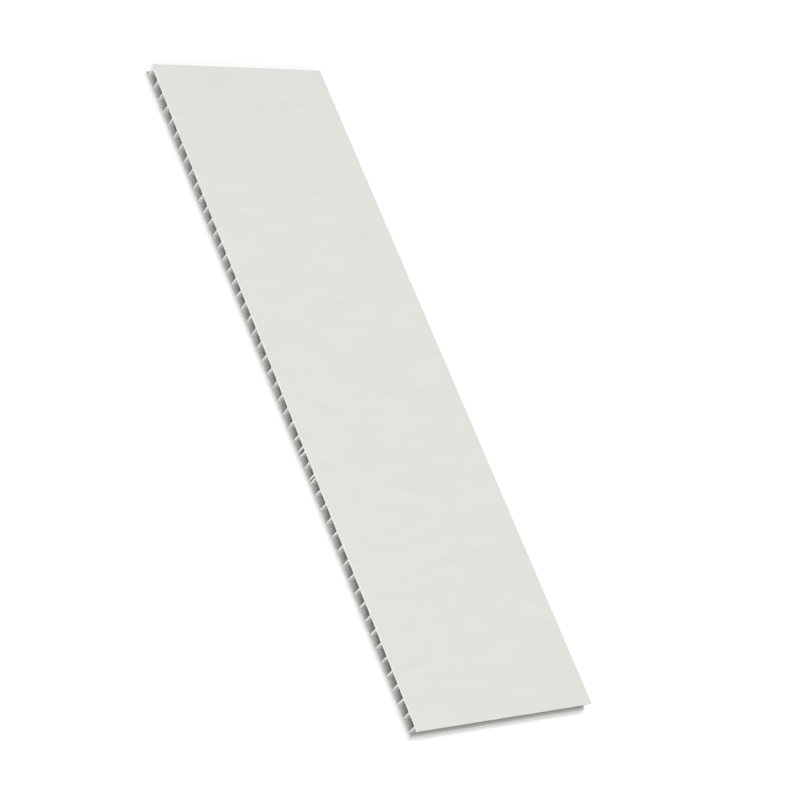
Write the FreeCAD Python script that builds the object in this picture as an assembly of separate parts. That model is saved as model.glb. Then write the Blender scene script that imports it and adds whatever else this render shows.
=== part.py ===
# Hollow plastic wall panel, one extruded piece, in millimetres.
# Its section is a row of upright webs between a front skin and a back skin, so that it is
# open from saw cut to saw cut in a row of near-square cells. X runs across the cells,
# Y along them and Z from the back skin, which lies on the floor, up to the front skin.
# The origin is the middle of the back skin's underside.
import FreeCAD
import Part

import math
import os

# Overall size of the cut length of panel
PANEL_WIDTH = 400.0
PANEL_LENGTH = 112.0
PANEL_THICKNESS = 7.5

# Walls of the section
FRONT_SKIN = 1.1
BACK_SKIN = 1.0
WEB = 0.85
END_WALL = 0.9

# Open groove along each extruded edge, between the ends of the two skins
GROOVE_DEPTH = 2.2

# The die has four zones of slightly different cell width, from the -X edge to the +X edge:
# how many cells each has, and their width against the mean
ZONE_CELLS = (10, 9, 21, 10)
ZONE_WIDTHS = (1.05, 0.955, 1.01, 0.955)

# Webs that are a pair of walls instead of one: the web's number from the -X end wall,
# and the distance between the middles of its two walls
WIDE_TWIN_WEB = 30
WIDE_TWIN_SPREAD = 2.8
NARROW_TWIN_WEB = 32
NARROW_TWIN_SPREAD = 1.9

# Radii of the section's corners
CELL_RADIUS = 0.4
SKIN_EDGE_RADIUS = 0.45
LIP_RADIUS = 0.25


def web_lines():
    """Middle of the room for each web in X, from end wall to end wall."""
    first = -PANEL_WIDTH / 2 + GROOVE_DEPTH + END_WALL / 2
    widths = [width for count, width in zip(ZONE_CELLS, ZONE_WIDTHS) for _ in range(count)]
    unit = -2 * first / sum(widths)
    lines = [first]
    for width in widths:
        lines.append(lines[-1] + unit * width)
    return lines


def upright_walls():
    """Low and high X of every wall between the skins, in order."""
    lines = web_lines()
    twins = {WIDE_TWIN_WEB: WIDE_TWIN_SPREAD, NARROW_TWIN_WEB: NARROW_TWIN_SPREAD}
    walls = []
    for number, middle in enumerate(lines):
        thickness = END_WALL if number in (0, len(lines) - 1) else WEB
        spread = twins.get(number, 0.0)
        for centre in sorted({middle - spread / 2, middle + spread / 2}):
            walls.append((centre - thickness / 2, centre + thickness / 2))
    return walls


def cells():
    """Low and high X of every cell: the gaps between one wall and the next."""
    walls = upright_walls()
    return [(left[1], right[0]) for left, right in zip(walls, walls[1:])]


def rounded_wire(corners):
    """Closed wire in the section's plane through corners (x, z, radius), rounded there."""
    places = [FreeCAD.Vector(x, -PANEL_LENGTH / 2, z) for x, z, _ in corners]
    edges = []
    last_end = None
    first_start = None
    for i, (_, _, radius) in enumerate(corners):
        here = places[i]
        back = (places[i - 1] - here).normalize()
        ahead = (places[(i + 1) % len(places)] - here).normalize()
        half_angle = back.getAngle(ahead) / 2
        start = here + back * (radius / math.tan(half_angle))
        end = here + ahead * (radius / math.tan(half_angle))
        inward = (back + ahead).normalize()
        middle = here + inward * (radius / math.sin(half_angle) - radius)
        if last_end is None:
            first_start = start
        else:
            edges.append(Part.makeLine(last_end, start))
        edges.append(Part.Arc(start, middle, end).toShape())
        last_end = end
    edges.append(Part.makeLine(last_end, first_start))
    return Part.Wire(edges)


def section_outline():
    """Outline of the section, with the groove in each edge and the two skins' lips."""
    side = PANEL_WIDTH / 2
    root = side - GROOVE_DEPTH
    back_top = BACK_SKIN
    front_under = PANEL_THICKNESS - FRONT_SKIN
    edge_back = min(SKIN_EDGE_RADIUS, 0.5 * BACK_SKIN)
    edge_front = min(SKIN_EDGE_RADIUS, 0.5 * FRONT_SKIN)
    lip_back = min(LIP_RADIUS, 0.4 * BACK_SKIN)
    lip_front = min(LIP_RADIUS, 0.4 * FRONT_SKIN)
    inner = min(CELL_RADIUS, 0.5 * GROOVE_DEPTH)
    right = [
        (side, 0.0, edge_back),
        (side, back_top, lip_back),
        (root, back_top, inner),
        (root, front_under, inner),
        (side, front_under, lip_front),
        (side, PANEL_THICKNESS, edge_front),
    ]
    left = [(-x, z, radius) for x, z, radius in reversed(right)]
    return rounded_wire(right + left)


def cell_outline(low, high):
    """Outline of one cell, from wall to wall and from skin to skin."""
    front_under = PANEL_THICKNESS - FRONT_SKIN
    radius = min(CELL_RADIUS, 0.4 * (high - low), 0.4 * (front_under - BACK_SKIN))
    return rounded_wire([
        (low, BACK_SKIN, radius),
        (high, BACK_SKIN, radius),
        (high, front_under, radius),
        (low, front_under, radius),
    ])


def wall_panel():
    """The section with all its cells, drawn out along them."""
    openings = [cell_outline(low, high) for low, high in cells()]
    section = Part.Face([section_outline()] + openings, "Part::FaceMakerBullseye")
    return section.extrude(FreeCAD.Vector(0, PANEL_LENGTH, 0))


os.makedirs("parts", exist_ok=True)
panel = wall_panel()
panel.exportStep("parts/wall_panel.step")
size = panel.BoundBox
print(f"wall_panel: {size.XLength:.1f} x {size.YLength:.1f} x {size.ZLength:.1f} mm,",
      f"{len(cells())} cells, {panel.Volume / 1000:.1f} cm3, valid {panel.isValid()}")
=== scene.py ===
"""Looks, light and camera for a hollow plastic wall panel that lies face up on a pale floor."""
import logging
import math
from dataclasses import dataclass, field
from enum import Enum

import bmesh
import bpy
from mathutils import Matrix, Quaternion, Vector


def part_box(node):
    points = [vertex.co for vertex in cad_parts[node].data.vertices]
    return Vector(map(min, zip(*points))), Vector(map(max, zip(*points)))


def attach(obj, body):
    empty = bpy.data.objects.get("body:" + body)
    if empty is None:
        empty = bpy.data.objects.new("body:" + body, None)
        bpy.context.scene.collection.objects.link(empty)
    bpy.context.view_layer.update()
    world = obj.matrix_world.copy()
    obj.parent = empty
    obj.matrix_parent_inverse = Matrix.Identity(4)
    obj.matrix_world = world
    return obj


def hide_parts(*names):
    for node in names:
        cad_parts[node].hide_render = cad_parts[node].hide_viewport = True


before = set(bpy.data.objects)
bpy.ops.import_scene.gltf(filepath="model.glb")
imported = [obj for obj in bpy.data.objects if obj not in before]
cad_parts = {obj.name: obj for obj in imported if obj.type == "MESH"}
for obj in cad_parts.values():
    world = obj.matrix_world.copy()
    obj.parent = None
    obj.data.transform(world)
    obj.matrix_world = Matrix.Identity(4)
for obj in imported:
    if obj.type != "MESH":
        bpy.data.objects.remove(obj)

log = logging.getLogger("wall_panel")

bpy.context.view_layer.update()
MM = 0.001
CM3_PER_M3 = 1e6
# Nearly all of a noise pattern lies between these two values
NOISE_LOW, NOISE_HIGH = 0.3, 0.7


def linear_colour(hex_code: str) -> tuple[float, float, float, float]:
    """Turn an sRGB hex colour into the linear colour that a shader takes.

    Args:
        hex_code: six hex digits, such as "d6d6d2".

    Returns:
        Red, green, blue and alpha, linear.
    """
    channels = []
    # The sRGB curve: a straight line near black and a power above it
    for start in (0, 2, 4):
        value = int(hex_code[start:start + 2], 16) / 255
        channels.append(value / 12.92 if value <= 0.04045 else ((value + 0.055) / 1.055) ** 2.4)
    return (channels[0], channels[1], channels[2], 1.0)


def add_node(tree: bpy.types.NodeTree, kind: str, inputs: dict | None = None,
             **settings: object) -> bpy.types.Node:
    """Add one node to a tree, set it up and link it.

    Args:
        tree: the node tree.
        kind: the node's type name.
        inputs: for an input's name or number, the value it takes or the socket it is linked to.
        settings: the node's own properties.

    Returns:
        The new node.
    """
    node = tree.nodes.new(kind)
    for name, value in settings.items():
        setattr(node, name, value)
    for key, value in (inputs or {}).items():
        if isinstance(value, bpy.types.NodeSocket):
            tree.links.new(value, node.inputs[key])
        else:
            node.inputs[key].default_value = value
    return node


class Surface(Enum):
    """The surfaces of the extrusion that look different, by how each was made."""

    SKIN = "skin"
    CELL = "cell"
    GROOVE = "groove"
    CUT = "cut"


@dataclass(frozen=True)
class ExtrudedPvc:
    """Rigid white PVC as it leaves the die and its cooling plates.

    The sizing plates leave the outside matt, with a fine grain and very faint clouding, so that
    the light lies on it as an even soft grey-white with no clear reflection.
    """

    name: str = "rigid_pvc_extruded_matt"
    tint: str = "d4d3ce"
    cloud_tint: str = "cfceca"
    ior: float = 1.53
    roughness: float = 0.56
    roughness_swing: float = 0.05
    grain_mm: float = 0.9      # the real grain is near 0.1 mm, drawn coarser so that it shows
    grain_height_mm: float = 0.035
    grain_detail: float = 4.0
    grain_breakup: float = 0.6
    grain_strength: float = 0.5
    cloud_mm: float = 9.0
    cloud_detail: float = 6.0
    cloud_breakup: float = 0.72
    cloud_stretch: float = 3.0  # the clouds are longer along the extrusion, by this much

    def material(self) -> bpy.types.Material:
        """Build the material.

        Returns:
            The finished material.
        """
        made = bpy.data.materials.new(self.name)
        made.use_nodes = True
        tree = made.node_tree
        shader = tree.nodes["Principled BSDF"]
        place = add_node(tree, "ShaderNodeTexCoord").outputs["Object"]
        along = add_node(tree, "ShaderNodeMapping", {
            "Vector": place, "Scale": (1.0, 1 / self.cloud_stretch, 1.0)})
        clouds = add_node(tree, "ShaderNodeTexNoise", {
            "Vector": along.outputs["Vector"], "Scale": 1 / (self.cloud_mm * MM),
            "Detail": self.cloud_detail, "Roughness": self.cloud_breakup})
        spread = add_node(tree, "ShaderNodeMapRange", {
            "Value": clouds.outputs["Fac"], "From Min": NOISE_LOW, "From Max": NOISE_HIGH})
        tint = add_node(tree, "ShaderNodeMix", {
            0: spread.outputs["Result"], 6: linear_colour(self.cloud_tint),
            7: linear_colour(self.tint)}, data_type="RGBA")
        tree.links.new(tint.outputs[2], shader.inputs["Base Color"])
        grain = add_node(tree, "ShaderNodeTexNoise", {
            "Vector": place, "Scale": 1 / (self.grain_mm * MM), "Detail": self.grain_detail,
            "Roughness": self.grain_breakup})
        bump = add_node(tree, "ShaderNodeBump", {
            "Strength": self.grain_strength, "Distance": self.grain_height_mm * MM,
            "Height": grain.outputs["Fac"]})
        tree.links.new(bump.outputs["Normal"], shader.inputs["Normal"])
        gloss = add_node(tree, "ShaderNodeMapRange", {
            "Value": grain.outputs["Fac"], "From Min": NOISE_LOW, "From Max": NOISE_HIGH,
            "To Min": self.roughness - self.roughness_swing,
            "To Max": self.roughness + self.roughness_swing})
        tree.links.new(gloss.outputs["Result"], shader.inputs["Roughness"])
        shader.inputs["IOR"].default_value = self.ior
        return made


@dataclass(frozen=True)
class DrawnPvc:
    """Rigid white PVC inside the cells, shaped by the die alone and cooled in air.

    Nothing flattens it there, so it keeps the die's fine lines along the cell and a low sheen
    that runs along them.
    """

    name: str = "rigid_pvc_drawn_inside"
    tint: str = "d6d6d2"
    line_tint: str = "cdcdc8"
    ior: float = 1.53
    roughness: float = 0.42
    line_mm: float = 0.5       # real lines are near 0.1 mm apart, drawn coarser so that they show
    line_height_mm: float = 0.02
    line_stretch: float = 80.0  # the lines' length against their spacing
    line_detail: float = 3.0
    line_breakup: float = 0.6
    line_strength: float = 0.6

    def material(self) -> bpy.types.Material:
        """Build the material.

        Returns:
            The finished material.
        """
        made = bpy.data.materials.new(self.name)
        made.use_nodes = True
        tree = made.node_tree
        shader = tree.nodes["Principled BSDF"]
        place = add_node(tree, "ShaderNodeTexCoord").outputs["Object"]
        along = add_node(tree, "ShaderNodeMapping", {
            "Vector": place, "Scale": (1.0, 1 / self.line_stretch, 1.0)})
        lines = add_node(tree, "ShaderNodeTexNoise", {
            "Vector": along.outputs["Vector"], "Scale": 1 / (self.line_mm * MM),
            "Detail": self.line_detail, "Roughness": self.line_breakup})
        tint = add_node(tree, "ShaderNodeMix", {
            0: lines.outputs["Fac"], 6: linear_colour(self.line_tint),
            7: linear_colour(self.tint)}, data_type="RGBA")
        tree.links.new(tint.outputs[2], shader.inputs["Base Color"])
        bump = add_node(tree, "ShaderNodeBump", {
            "Strength": self.line_strength, "Distance": self.line_height_mm * MM,
            "Height": lines.outputs["Fac"]})
        tree.links.new(bump.outputs["Normal"], shader.inputs["Normal"])
        shader.inputs["Roughness"].default_value = self.roughness
        shader.inputs["IOR"].default_value = self.ior
        return made


@dataclass(frozen=True)
class GrooveShadePvc(DrawnPvc):
    """Rigid white PVC in the side grooves, drawn as in the cells.

    The grooves are a darker and flatter grey: painted shade, for the shade under the lips.
    """

    name: str = "rigid_pvc_groove_painted_shade"
    # Painted shade: these darker tints stand in for the shade under the lips
    tint: str = "b8b8b3"
    line_tint: str = "b0b0ab"


@dataclass(frozen=True)
class SawnPvc:
    """Rigid white PVC where a saw cut the panel to length.

    The teeth tear the plastic a little, which whitens it and leaves it rougher, with fine marks
    that follow the blade's round edge up through the section. Low down, painted shade greys it.
    """

    name: str = "rigid_pvc_saw_cut"
    tint: str = "f3f3f0"
    torn_tint: str = "e5e5e2"
    ior: float = 1.53
    roughness: float = 0.7
    mark_mm: float = 0.8       # a fine blade marks every 0.2 mm, drawn coarser so that it shows
    mark_height_mm: float = 0.05
    mark_detail: float = 2.0
    mark_breakup: float = 0.5
    blade_radius_mm: float = 125.0
    blade_reach_mm: float = 30.0  # how far the blade's lowest point passes under the panel
    crumb_mm: float = 0.35
    crumb_detail: float = 3.0
    crumb_breakup: float = 0.65
    relief_low: float = 0.7    # nearly all of marks plus crumbs lies between these two values
    relief_high: float = 1.3
    relief_strength: float = 0.7
    # Painted shade: the cut turns this grey towards the floor
    low_shade_tint: str = "d2d2ce"
    shade_top_mm: float = 6.3   # painted shade greys the cut from this height down
    shade_full_mm: float = 0.6

    def material(self) -> bpy.types.Material:
        """Build the material.

        Returns:
            The finished material.
        """
        made = bpy.data.materials.new(self.name)
        made.use_nodes = True
        tree = made.node_tree
        shader = tree.nodes["Principled BSDF"]
        place = add_node(tree, "ShaderNodeTexCoord").outputs["Object"]
        parts = add_node(tree, "ShaderNodeSeparateXYZ", {0: place})
        # The blade's round edge: a mark drifts by the square of its height above the blade's
        # lowest point, over twice the blade's radius
        height = add_node(tree, "ShaderNodeMath", {
            0: parts.outputs["Z"], 1: self.blade_reach_mm * MM}, operation="ADD")
        squared = add_node(tree, "ShaderNodeMath", {
            0: height.outputs[0], 1: 2.0}, operation="POWER")
        lean = add_node(tree, "ShaderNodeMath", {
            0: squared.outputs[0], 1: 2 * self.blade_radius_mm * MM}, operation="DIVIDE")
        across = add_node(tree, "ShaderNodeMath", {
            0: parts.outputs["X"], 1: lean.outputs[0]}, operation="ADD")
        arc = add_node(tree, "ShaderNodeCombineXYZ", {0: across.outputs[0], 1: parts.outputs["Y"]})
        marks = add_node(tree, "ShaderNodeTexNoise", {
            "Vector": arc.outputs[0], "Scale": 1 / (self.mark_mm * MM),
            "Detail": self.mark_detail, "Roughness": self.mark_breakup})
        crumbs = add_node(tree, "ShaderNodeTexNoise", {
            "Vector": place, "Scale": 1 / (self.crumb_mm * MM),
            "Detail": self.crumb_detail, "Roughness": self.crumb_breakup})
        relief = add_node(tree, "ShaderNodeMath", {
            0: marks.outputs["Fac"], 1: crumbs.outputs["Fac"]}, operation="ADD")
        share = add_node(tree, "ShaderNodeMapRange", {
            "Value": relief.outputs[0], "From Min": self.relief_low, "From Max": self.relief_high})
        tint = add_node(tree, "ShaderNodeMix", {
            0: share.outputs["Result"], 6: linear_colour(self.torn_tint),
            7: linear_colour(self.tint)}, data_type="RGBA")
        # Painted shade: the cut grows greyer from one height down to a lower one, towards the floor
        low_shade = add_node(tree, "ShaderNodeMapRange", {
            "Value": parts.outputs["Z"], "From Min": self.shade_top_mm * MM,
            "From Max": self.shade_full_mm * MM})
        low_shaded = add_node(tree, "ShaderNodeMix", {
            0: low_shade.outputs["Result"], 6: tint.outputs[2], 7: linear_colour(self.low_shade_tint)},
            data_type="RGBA")
        tree.links.new(low_shaded.outputs[2], shader.inputs["Base Color"])
        bump = add_node(tree, "ShaderNodeBump", {
            "Strength": self.relief_strength, "Distance": self.mark_height_mm * MM,
            "Height": relief.outputs[0]})
        tree.links.new(bump.outputs["Normal"], shader.inputs["Normal"])
        shader.inputs["Roughness"].default_value = self.roughness
        shader.inputs["IOR"].default_value = self.ior
        return made


@dataclass(frozen=True)
class StudioPaper:
    """Seamless white background paper: plain, dead matt and bright under the lights."""

    name: str = "matt_background_paper"
    tint: str = "f6f6f6"
    roughness: float = 0.9
    gloss: float = 0.0         # none, so that no highlight shows on the floor

    def material(self) -> bpy.types.Material:
        """Build the material.

        Returns:
            The finished material.
        """
        made = bpy.data.materials.new(self.name)
        made.use_nodes = True
        shader = made.node_tree.nodes["Principled BSDF"]
        shader.inputs["Base Color"].default_value = linear_colour(self.tint)
        shader.inputs["Roughness"].default_value = self.roughness
        shader.inputs["Specular IOR Level"].default_value = self.gloss
        return made


@dataclass
class WallPanel:
    """The panel: one extruded length with rows of cells between two skins, sawn at both ends.

    Sizes are in millimetres. X runs across the cells, Y along them and Z up from the back skin.
    """

    node: str = "wall_panel"
    front_skin: float = 1.1
    back_skin: float = 1.0
    web: float = 0.85
    end_wall: float = 0.9
    groove_depth: float = 2.2
    # Number of cells in each zone of the die, and their width against the mean
    cell_zones: tuple[tuple[int, float], ...] = ((10, 1.05), (9, 0.955), (21, 1.01), (10, 0.955))
    # Webs that are a pair of walls: the web's number, and the distance between its two walls
    twin_webs: dict[int, float] = field(default_factory=lambda: {30: 2.8, 32: 1.9})
    cell_radius: float = 0.4
    skin_edge_radius: float = 0.45
    lip_radius: float = 0.25
    corner_steps: int = 5
    web_unevenness: float = 0.08
    web_lean: float = 0.10
    cut_bevel: float = 0.09
    cut_roughness: float = 0.85    # share of the bevel that comes and goes along the edge
    chip: float = 1.1              # length of the chips along the cut's edge
    chip_detail: float = 3.0
    chip_breakup: float = 0.7
    chip_spread: float = 3.0       # widens the noise's narrow middle to the whole swing
    least_bevel: float = 0.15      # share of the bevel that is left where the edge is sharpest
    edge_pitch: float = 0.7
    weld: float = 0.001
    seed: int = 5

    def __post_init__(self) -> None:
        """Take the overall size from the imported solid."""
        low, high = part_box(self.node)
        self.width = (high[0] - low[0]) / MM
        self.length = (high[1] - low[1]) / MM
        self.thickness = (high[2] - low[2]) / MM

    def cells(self) -> list[tuple[float, float]]:
        """Work out where the cells are.

        Returns:
            Low and high X of each cell, in order.
        """
        first = -self.width / 2 + self.groove_depth + self.end_wall / 2
        shares = [share for count, share in self.cell_zones for _ in range(count)]
        unit = -2 * first / sum(shares)
        middle, walls = first, []
        for number in range(len(shares) + 1):
            thick = self.end_wall if number in (0, len(shares)) else self.web
            spread = self.twin_webs.get(number, 0.0)
            for centre in sorted({middle - spread / 2, middle + spread / 2}):
                walls.append((centre - thick / 2, centre + thick / 2))
            if number < len(shares):
                middle += unit * shares[number]
        return [(left[1], right[0]) for left, right in zip(walls, walls[1:])]

    def outline(self) -> list[tuple[float, float, float]]:
        """List the corners of the section's outline, with a groove in each side.

        Returns:
            X, Z and corner radius of each corner, clockwise.
        """
        side = self.width / 2
        root = side - self.groove_depth
        under = self.thickness - self.front_skin
        right = [
            (side, 0.0, self.skin_edge_radius), (side, self.back_skin, self.lip_radius),
            (root, self.back_skin, self.cell_radius), (root, under, self.cell_radius),
            (side, under, self.lip_radius), (side, self.thickness, self.skin_edge_radius),
        ]
        return [(-x, z, radius) for x, z, radius in right] + list(reversed(right))

    def guide(self) -> bpy.types.Object:
        """Make the guide that the section grows from.

        Returns:
            A mesh of the outline's corners, joined in a ring, and a loose point for each cell.
        """
        corners, cells = self.outline(), self.cells()
        middle = (self.back_skin + self.thickness - self.front_skin) / 2
        points = [(x * MM, z * MM, 0.0) for x, z, _ in corners]
        points += [((low + high) / 2 * MM, middle * MM, 0.0) for low, high in cells]
        ring = [(i, (i + 1) % len(corners)) for i in range(len(corners))]
        mesh = bpy.data.meshes.new("panel_guide")
        mesh.from_pydata(points, ring, [])
        facts = {
            "is_cell": ("BOOLEAN", [False] * len(corners) + [True] * len(cells)),
            "in_groove": ("BOOLEAN", [abs(x) < self.width / 2 for x, _, _ in corners]
                          + [False] * len(cells)),
            "half_width": ("FLOAT", [0.0] * len(corners)
                           + [(high - low) / 2 * MM for low, high in cells]),
            "corner_radius": ("FLOAT", [radius * MM for _, _, radius in corners]
                              + [self.cell_radius * MM] * len(cells)),
            "number": ("INT", list(range(len(corners))) + list(range(len(cells)))),
        }
        for name, (kind, values) in facts.items():
            mesh.attributes.new(name, kind, "POINT").data.foreach_set("value", values)
        made = bpy.data.objects.new("panel_guide", mesh)
        bpy.context.collection.objects.link(made)
        return made

    def section_tree(self, finishes: dict[Surface, bpy.types.Material]) -> bpy.types.NodeTree:
        """Build the node tree that grows the panel from its guide.

        Args:
            finishes: the material of each kind of surface.

        Returns:
            The geometry node tree.
        """
        tree = bpy.data.node_groups.new("extruded_section", "GeometryNodeTree")
        face = tree.interface
        face.new_socket("Geometry", in_out="OUTPUT", socket_type="NodeSocketGeometry")
        face.new_socket("Guide", in_out="INPUT", socket_type="NodeSocketGeometry")
        for name, value in self.tree_inputs().items():
            kind = "NodeSocketInt" if isinstance(value, int) else "NodeSocketFloat"
            face.new_socket(name, in_out="INPUT", socket_type=kind)
        size = add_node(tree, "NodeGroupInput").outputs

        def named(name: str, kind: str) -> bpy.types.NodeSocket:
            """Read a named attribute of the given kind."""
            found = add_node(tree, "GeometryNodeInputNamedAttribute", {"Name": name},
                             data_type=kind)
            return next(out for out in found.outputs if out.name == "Attribute" and out.enabled)

        def maths(operation: str, *values: bpy.types.NodeSocket | float) -> bpy.types.NodeSocket:
            """Work out one number."""
            inputs = dict(enumerate(values))
            return add_node(tree, "ShaderNodeMath", inputs, operation=operation).outputs[0]

        def vector(operation: str,
                   **values: bpy.types.NodeSocket | float | tuple) -> bpy.types.NodeSocket:
            """Work out one vector.

            Args:
                operation: what is done.
                values: the inputs a and b, and scale where the operation takes it.

            Returns:
                The socket of the result.
            """
            keys = {"a": 0, "b": 1, "scale": "Scale"}
            inputs = {keys[key]: value for key, value in values.items()}
            return add_node(tree, "ShaderNodeVectorMath", inputs,
                            operation=operation).outputs["Vector"]

        def stored(geometry: bpy.types.NodeSocket, name: str,
                   value: bpy.types.NodeSocket) -> bpy.types.NodeSocket:
            """Keep a place or a direction with each point, under a name."""
            return add_node(tree, "GeometryNodeStoreNamedAttribute", {
                "Geometry": geometry, "Name": name, "Value": value},
                data_type="FLOAT_VECTOR", domain="POINT").outputs[0]

        here = add_node(tree, "GeometryNodeInputPosition").outputs[0]
        # The cells: one square to each point, its corners pushed out to the cell's own walls
        parts = add_node(tree, "GeometryNodeSeparateGeometry", {
            "Geometry": size["Guide"], "Selection": named("is_cell", "BOOLEAN")}, domain="POINT")
        square = add_node(tree, "GeometryNodeCurvePrimitiveQuadrilateral", {
            "Width": 2.0, "Height": 2.0})
        squares = add_node(tree, "GeometryNodeInstanceOnPoints", {
            "Points": stored(parts.outputs["Selection"], "cell_middle", here),
            "Instance": stored(square.outputs[0], "corner", here)})
        loose = add_node(tree, "GeometryNodeRealizeInstances", {"Geometry": squares.outputs[0]})
        corner = add_node(tree, "ShaderNodeSeparateXYZ", {0: named("corner", "FLOAT_VECTOR")})
        # Both sides of a web share one random number, so that the web as a whole is a little off
        on_right = maths("GREATER_THAN", corner.outputs["X"], 0.0)
        web_number = maths("ADD", named("number", "INT"), on_right)
        off = [add_node(tree, "FunctionNodeRandomValue", {
            2: -1.0, 3: 1.0, "ID": web_number, "Seed": maths("ADD", size["Seed"], float(step))},
            data_type="FLOAT").outputs[1] for step in range(2)]
        half = maths("ADD", named("half_width", "FLOAT"),
                     maths("MULTIPLY", off[0], size["Web Unevenness"]))
        lean = maths("MULTIPLY", maths("MULTIPLY", off[1], size["Web Lean"]), corner.outputs["Y"])
        push = add_node(tree, "ShaderNodeCombineXYZ", {
            "X": maths("ADD", maths("MULTIPLY", corner.outputs["X"], half), lean),
            "Y": maths("MULTIPLY", corner.outputs["Y"], size["Half Cell Height"])})
        walls = add_node(tree, "GeometryNodeSetPosition", {
            "Geometry": loose.outputs[0],
            "Position": vector("ADD", a=named("cell_middle", "FLOAT_VECTOR"), b=push.outputs[0])})
        outline = add_node(tree, "GeometryNodeMeshToCurve", {"Mesh": parts.outputs["Inverted"]})
        rings = add_node(tree, "GeometryNodeJoinGeometry")
        for loop in (walls.outputs[0], outline.outputs[0]):
            tree.links.new(loop, rings.inputs[0])
        rounded = add_node(tree, "GeometryNodeFilletCurve", {
            "Curve": rings.outputs[0], "Count": size["Corner Steps"],
            "Radius": named("corner_radius", "FLOAT"), "Limit Radius": True}, mode="POLY")

        # More points along the straight runs, for the cut's rough edge
        after = add_node(tree, "GeometryNodeOffsetPointInCurve", {
            "Offset": 1}).outputs["Point Index"]
        next_place = add_node(tree, "GeometryNodeFieldAtIndex", {"Index": after, "Value": here},
                              data_type="FLOAT_VECTOR", domain="POINT").outputs[0]
        run = add_node(tree, "ShaderNodeVectorMath", {0: here, 1: next_place},
                       operation="DISTANCE").outputs["Value"]
        fine = add_node(tree, "GeometryNodeSubdivideCurve", {
            "Curve": rounded.outputs[0],
            "Cuts": maths("FLOOR", maths("DIVIDE", run, size["Edge Pitch"]))})

        # Which way the open side of each wall is, and where its line runs away from the cuts
        tangent = add_node(tree, "GeometryNodeInputTangent").outputs[0]
        sided = stored(fine.outputs[0], "open_side",
                       vector("CROSS_PRODUCT", a=(0.0, 0.0, 1.0), b=tangent))
        section = stored(sided, "line", here)
        line = named("line", "FLOAT_VECTOR")

        def cut_edge(offset: float) -> bpy.types.NodeSocket:
            """Give the rough edge at one cut: the wall's line, set back by an uneven bevel.

            Args:
                offset: how far off the noise is read, so that the two cuts differ.

            Returns:
                The edge's place in the section's plane.
            """
            spot = vector("ADD", a=line, b=(0.0, 0.0, offset))
            noise = add_node(tree, "ShaderNodeTexNoise", {
                "Vector": spot, "Scale": 1 / (self.chip * MM), "Detail": self.chip_detail,
                "Roughness": self.chip_breakup}).outputs["Fac"]
            swing = maths("MULTIPLY", maths("SUBTRACT", noise, 0.5),
                          maths("MULTIPLY", size["Cut Roughness"], self.chip_spread))
            share = maths("MAXIMUM", maths("ADD", 1.0, swing), self.least_bevel)
            depth = maths("MULTIPLY", size["Cut Bevel"], share)
            back = vector("SCALE", a=named("open_side", "FLOAT_VECTOR"),
                          scale=maths("MULTIPLY", depth, -1.0))
            return vector("ADD", a=line, b=back)

        def at_height(flat: bpy.types.NodeSocket,
                      height: bpy.types.NodeSocket) -> bpy.types.NodeSocket:
            """Lift a place in the section's plane along the extrusion."""
            lift = add_node(tree, "ShaderNodeCombineXYZ", {"Z": height}).outputs[0]
            return vector("ADD", a=flat, b=lift)

        def cut_marked(geometry: bpy.types.NodeSocket, is_cut: bool,
                       faces: bpy.types.NodeSocket | bool = True) -> bpy.types.NodeSocket:
            """Mark faces as sawn, or as not sawn."""
            return add_node(tree, "GeometryNodeStoreNamedAttribute", {
                "Geometry": geometry, "Selection": faces, "Name": "is_cut", "Value": is_cut},
                data_type="BOOLEAN", domain="FACE").outputs[0]

        half_length = size["Half Length"]
        near_cut, far_cut = cut_edge(0.0), cut_edge(1.0)
        bottom = maths("MULTIPLY", half_length, -1.0)
        # The walls, from one cut to the other: bevel, straight run, bevel
        stops = [
            (at_height(line, maths("ADD", bottom, size["Cut Bevel"])), True),
            (at_height(line, maths("SUBTRACT", half_length, size["Cut Bevel"])), False),
            (at_height(far_cut, half_length), True),
        ]
        start = add_node(tree, "GeometryNodeSetPosition", {
            "Geometry": section, "Position": at_height(near_cut, bottom)})
        shell = add_node(tree, "GeometryNodeCurveToMesh", {"Curve": start.outputs[0]}).outputs[0]
        shell = cut_marked(shell, False)
        top = True
        for place, is_cut in stops:
            drawn = add_node(tree, "GeometryNodeExtrudeMesh", {
                "Mesh": shell, "Selection": top, "Offset Scale": 0.0}, mode="EDGES")
            top = drawn.outputs["Top"]
            moved = add_node(tree, "GeometryNodeSetPosition", {
                "Geometry": drawn.outputs["Mesh"], "Selection": top, "Position": place})
            shell = cut_marked(moved.outputs[0], is_cut, drawn.outputs["Side"])
        whole = add_node(tree, "GeometryNodeJoinGeometry")
        tree.links.new(shell, whole.inputs[0])
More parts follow.
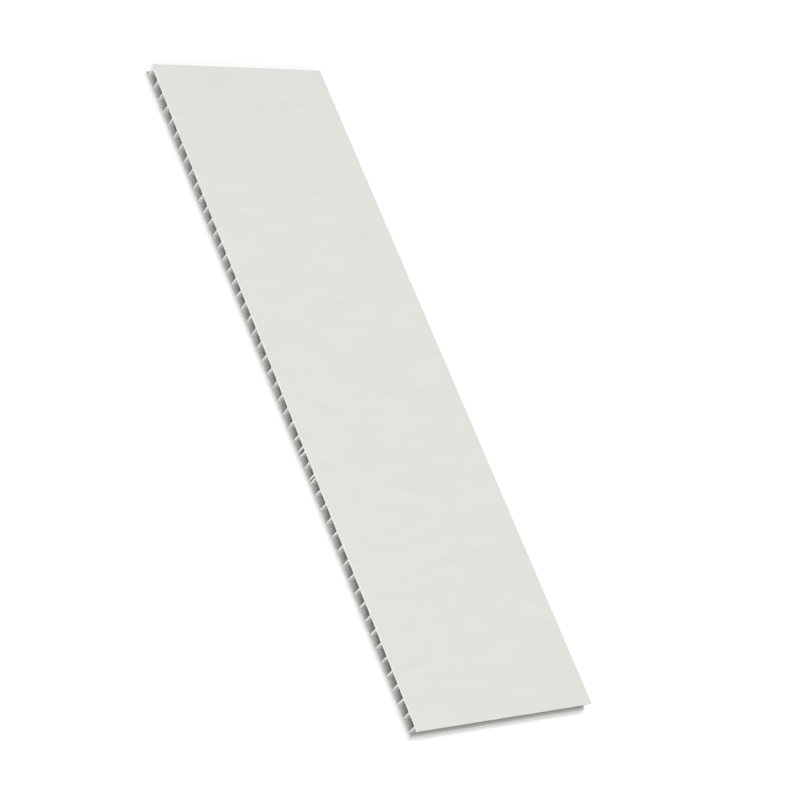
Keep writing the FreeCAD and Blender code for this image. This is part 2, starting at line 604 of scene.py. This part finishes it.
        # The flat of each cut, with the cells left open in it
        for edge, height, flip in ((near_cut, bottom, True), (far_cut, half_length, False)):
            rim = add_node(tree, "GeometryNodeSetPosition", {"Geometry": section, "Position": edge})
            cap = add_node(tree, "GeometryNodeFillCurve", {
                "Curve": rim.outputs[0]}, mode="TRIANGLES").outputs[0]
            if flip:
                cap = add_node(tree, "GeometryNodeFlipFaces", {"Mesh": cap}).outputs[0]
            lift = add_node(tree, "ShaderNodeCombineXYZ", {"Z": height}).outputs[0]
            cap = add_node(tree, "GeometryNodeSetPosition", {
                "Geometry": cap, "Offset": lift}).outputs[0]
            tree.links.new(cut_marked(cap, True), whole.inputs[0])
        closed = add_node(tree, "GeometryNodeMergeByDistance", {
            "Geometry": whole.outputs[0], "Distance": self.weld * MM})
        upright = add_node(tree, "GeometryNodeTransform", {
            "Geometry": closed.outputs[0], "Rotation": (math.pi / 2, 0.0, 0.0)})
        result = add_node(tree, "GeometryNodeRealizeInstances", {
            "Geometry": upright.outputs[0]}).outputs[0]
        for surface, choice in ((Surface.SKIN, None), (Surface.CELL, "is_cell"),
                                (Surface.GROOVE, "in_groove"), (Surface.CUT, "is_cut")):
            chosen = {"Geometry": result, "Material": finishes[surface]}
            if choice:
                chosen["Selection"] = named(choice, "BOOLEAN")
            result = add_node(tree, "GeometryNodeSetMaterial", chosen).outputs[0]
        add_node(tree, "NodeGroupOutput", {"Geometry": result})
        return tree

    def tree_inputs(self) -> dict[str, float | int]:
        """Give the tree's sizes, in metres.

        Returns:
            The value of each named input.
        """
        return {
            "Half Length": self.length / 2 * MM,
            "Half Cell Height": (self.thickness - self.front_skin - self.back_skin) / 2 * MM,
            "Web Unevenness": self.web_unevenness / 2 * MM,
            "Web Lean": self.web_lean * MM,
            "Cut Bevel": self.cut_bevel * MM,
            "Cut Roughness": self.cut_roughness,
            "Edge Pitch": self.edge_pitch * MM,
            "Corner Steps": self.corner_steps,
            "Seed": self.seed,
        }

    def build(self, finishes: dict[Surface, bpy.types.Material]) -> bpy.types.Object:
        """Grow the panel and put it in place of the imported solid.

        Args:
            finishes: the material of each kind of surface.

        Returns:
            The finished piece.
        """
        guide = self.guide()
        tree = self.section_tree(finishes)
        grower = guide.modifiers.new("section", "NODES")
        grower.node_group = tree
        sockets = {item.name: item.identifier for item in tree.interface.items_tree
                   if item.in_out == "INPUT"}
        for name, value in self.tree_inputs().items():
            grower[sockets[name]] = value
        view = bpy.context.evaluated_depsgraph_get()
        mesh = bpy.data.meshes.new_from_object(guide.evaluated_get(view), depsgraph=view)
        guide.modifiers.remove(grower)
        bpy.data.objects.remove(guide)
        mesh.name = "panel_extrusion"
        kept = ("position", "material_index", "sharp_face")
        for name in [fact.name for fact in mesh.attributes
                     if fact.name not in kept and not fact.name.startswith(".")]:
            mesh.attributes.remove(mesh.attributes[name])
        # One slot for each finish, in the order of the surfaces
        order = list(finishes.values())
        slots = [order.index(used) if used else 0 for used in mesh.materials]
        numbers = [slots[face.material_index] for face in mesh.polygons]
        mesh.materials.clear()
        for finish in order:
            mesh.materials.append(finish)
        mesh.polygons.foreach_set("material_index", numbers)
        form = bmesh.new()
        form.from_mesh(mesh)
        bmesh.ops.recalc_face_normals(form, faces=form.faces)
        log.info("open edges %d, volume %.2f cm3", sum(not edge.is_manifold for edge in form.edges),
                 form.calc_volume() * CM3_PER_M3)
        form.to_mesh(mesh)
        form.free()
        mesh.shade_flat()
        piece = bpy.data.objects.new("panel_extrusion", mesh)
        bpy.context.collection.objects.link(piece)
        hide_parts(self.node)
        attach(piece, "root")
        return piece


@dataclass(frozen=True)
class SoftBox:
    """A square softbox aimed at the panel."""

    name: str
    bearing: float             # degrees from +X towards +Y
    climb: float               # degrees up from the floor
    distance: float            # metres
    side: float                # metres
    level: float               # light that reaches the panel, in watts to the square metre

    def hang(self, aim: Vector) -> bpy.types.Object:
        """Hang the softbox and aim it.

        Args:
            aim: the point that it faces.

        Returns:
            The light.
        """
        light = bpy.data.lights.new(self.name, "AREA")
        light.shape = "SQUARE"
        light.size = self.side
        light.energy = self.level * math.pi * self.distance ** 2
        turn, up = math.radians(self.bearing), math.radians(self.climb)
        away = Vector((math.cos(up) * math.cos(turn), math.cos(up) * math.sin(turn), math.sin(up)))
        made = bpy.data.objects.new(self.name, light)
        made.location = aim + away * self.distance
        made.rotation_mode = "QUATERNION"
        made.rotation_quaternion = away.to_track_quat("Z", "Y")
        bpy.context.collection.objects.link(made)
        return made


@dataclass
class Studio:
    """Plain pale floor under an even white surround, with softboxes."""

    floor_side: float = 16.0   # metres
    surround: float = 0.235    # strength of the even white light from all round
    boxes: tuple[SoftBox, ...] = (
        SoftBox("overhead_softbox", 130.0, 76.0, 2.4, 1.0, 1.77),
        SoftBox("front_softbox", 272.0, 64.0, 3.2, 1.9, 0.89),
        SoftBox("side_softbox", 325.0, 42.0, 4.0, 2.4, 0.47),
        SoftBox("low_fill_softbox", 335.0, 20.0, 6.0, 3.4, 1.18),
    )

    def build(self) -> bpy.types.Object:
        """Lay the floor and set the lights.

        Returns:
            The floor.
        """
        half = self.floor_side / 2
        mesh = bpy.data.meshes.new("studio_floor")
        corners = [(-half, -half, 0), (half, -half, 0), (half, half, 0), (-half, half, 0)]
        mesh.from_pydata(corners, [], [(0, 1, 2, 3)])
        mesh.materials.append(StudioPaper().material())
        floor = bpy.data.objects.new("studio_floor", mesh)
        bpy.context.collection.objects.link(floor)
        world = bpy.data.worlds.new("white_surround")
        world.use_nodes = True
        sky = world.node_tree.nodes["Background"]
        sky.inputs["Color"].default_value = (1.0, 1.0, 1.0, 1.0)
        sky.inputs["Strength"].default_value = self.surround
        bpy.context.scene.world = world
        for box in self.boxes:
            box.hang(Vector((0.0, 0.0, 0.0)))
        bpy.context.scene.view_settings.view_transform = "Standard"
        return floor


@dataclass(frozen=True)
class PhotoCamera:
    """The camera at the photograph's viewing angle."""

    aim_mm: tuple[float, float, float] = (15.277, 18.832, 3.75)
    bearing: float = 32.615    # degrees from the front, towards +X
    climb: float = 43.318
    roll: float = -43.588      # degrees, clockwise as seen from behind
    distance: float = 1.3555   # metres
    lens_mm: float = 116.25
    sensor_mm: float = 36.0
    nearest: float = 0.05      # metres
    farthest: float = 60.0     # metres

    def build(self) -> bpy.types.Object:
        """Set the camera up and make it the scene's own.

        Returns:
            The camera.
        """
        turn, up = math.radians(self.bearing), math.radians(self.climb)
        away = Vector((math.sin(turn) * math.cos(up), -math.cos(turn) * math.cos(up), math.sin(up)))
        data = bpy.data.cameras.new("photo_camera")
        data.sensor_fit = "HORIZONTAL"
        data.sensor_width = self.sensor_mm
        data.lens = self.lens_mm
        data.clip_start = self.nearest
        data.clip_end = self.farthest
        made = bpy.data.objects.new("photo_camera", data)
        made.location = Vector(self.aim_mm) * MM + away * self.distance
        made.rotation_mode = "QUATERNION"
        rolled = Quaternion((0, 0, 1), -math.radians(self.roll))
        made.rotation_quaternion = away.to_track_quat("Z", "Y") @ rolled
        bpy.context.collection.objects.link(made)
        bpy.context.scene.camera = made
        return made


def main() -> None:
    """Build the scene, piece by piece."""
    logging.basicConfig(level=logging.INFO, format="%(name)s: %(message)s")
    finishes = {
        Surface.SKIN: ExtrudedPvc().material(),
        Surface.CELL: DrawnPvc().material(),
        Surface.GROOVE: GrooveShadePvc().material(),
        Surface.CUT: SawnPvc().material(),
    }
    panel = WallPanel().build(finishes)
    log.info("%s: %d faces", panel.name, len(panel.data.polygons))
    floor = Studio().build()
    log.info("%s: laid", floor.name)
    camera = PhotoCamera().build()
    log.info("%s: set", camera.name)


if __name__ == "__main__":
    main()
